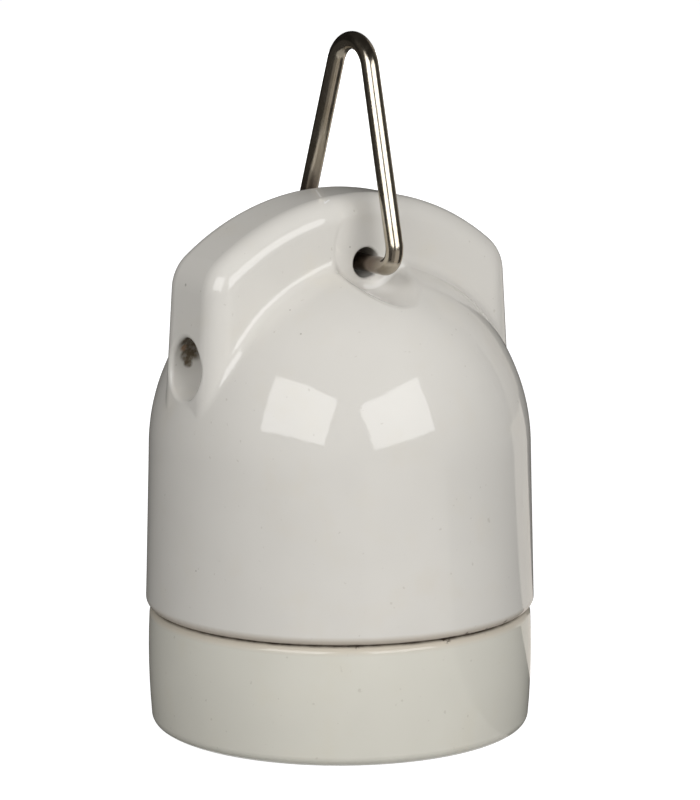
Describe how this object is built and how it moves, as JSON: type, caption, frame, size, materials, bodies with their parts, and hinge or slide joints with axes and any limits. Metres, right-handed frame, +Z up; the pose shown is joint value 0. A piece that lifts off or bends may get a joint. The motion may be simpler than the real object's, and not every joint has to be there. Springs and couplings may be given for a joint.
{
  "type": "lamp holder",
  "caption": "Porcelain pendant lamp holder with a screwed collar, an Edison screw socket, two cable entries and a wire hanging bail.",
  "frame": {"origin": "on the socket axis, in the plane of the collar's lower rim", "axes": "+Z up along the socket axis to the bail, X along the ridge, Y through the bail eye"},
  "size_m": [0.056, 0.056, 0.0999],
  "materials": {
    "cap_glaze": "gloss",
    "collar_glaze": "gloss",
    "block_glaze": "satin",
    "bail_wire": "polished",
    "shell_metal": "satin",
    "contact_metal": "satin",
    "terminal_metal": "satin",
    "screw_metal": "satin"
  },
  "bodies": {
    "cap": {"cap": "cap_glaze"},
    "insert": {"contact_block": "block_glaze", "screw_shell": "shell_metal", "centre_contact": "contact_metal", "contact_screw": "screw_metal", "shell_screw_neutral": "screw_metal", "shell_screw_plain": "screw_metal", "shell_nut": "screw_metal", "live_terminal": "terminal_metal", "neutral_terminal": "terminal_metal"},
    "collar": {"collar": "collar_glaze"},
    "bail": {"bail": "bail_wire"},
    "live_saddle": {"live_saddle": "screw_metal"},
    "live_clamp_screw": {"live_clamp_screw": "screw_metal"},
    "neutral_saddle": {"neutral_saddle": "screw_metal"},
    "neutral_clamp_screw": {"neutral_clamp_screw": "screw_metal"}
  },
  "joints": [
    {"name": "insert_slide", "type": "slide", "parent": "cap", "child": "insert", "axis": [0, 0, -1], "range_m": [0, 0.0125]},
    {"name": "collar_turn", "type": "hinge", "parent": "insert", "child": "collar", "pos_m": [0, 0, 0], "axis": [0, 0, -1], "range_deg": [0, 1500.5]},
    {"name": "bail_swing", "type": "hinge", "parent": "cap", "child": "bail", "pos_m": [0, 0, 0.0677], "axis": [0, 1, 0], "range_deg": [-43, 40]},
    {"name": "live_saddle_lift", "type": "slide", "parent": "insert", "child": "live_saddle", "axis": [0, 0, 1], "range_m": [0, 0.002]},
    {"name": "live_clamp_turn", "type": "hinge", "parent": "live_saddle", "child": "live_clamp_screw", "pos_m": [0.0122, 0, 0.0405], "axis": [0, 0, 1], "range_deg": [0, 1200.5]},
    {"name": "neutral_saddle_lift", "type": "slide", "parent": "insert", "child": "neutral_saddle", "axis": [0, 0, 1], "range_m": [0, 0.002]},
    {"name": "neutral_clamp_turn", "type": "hinge", "parent": "neutral_saddle", "child": "neutral_clamp_screw", "pos_m": [-0.0083, 0.0097, 0.0405], "axis": [0, 0, 1], "range_deg": [0, 1200.5]}
  ],
  "couplings": [
    {"joint": "collar_turn", "follows": "insert_slide", "rad_per_m": 2094.4},
    {"joint": "live_clamp_turn", "follows": "live_saddle_lift", "rad_per_m": 10472},
    {"joint": "neutral_clamp_turn", "follows": "neutral_saddle_lift", "rad_per_m": 10472}
  ]
}
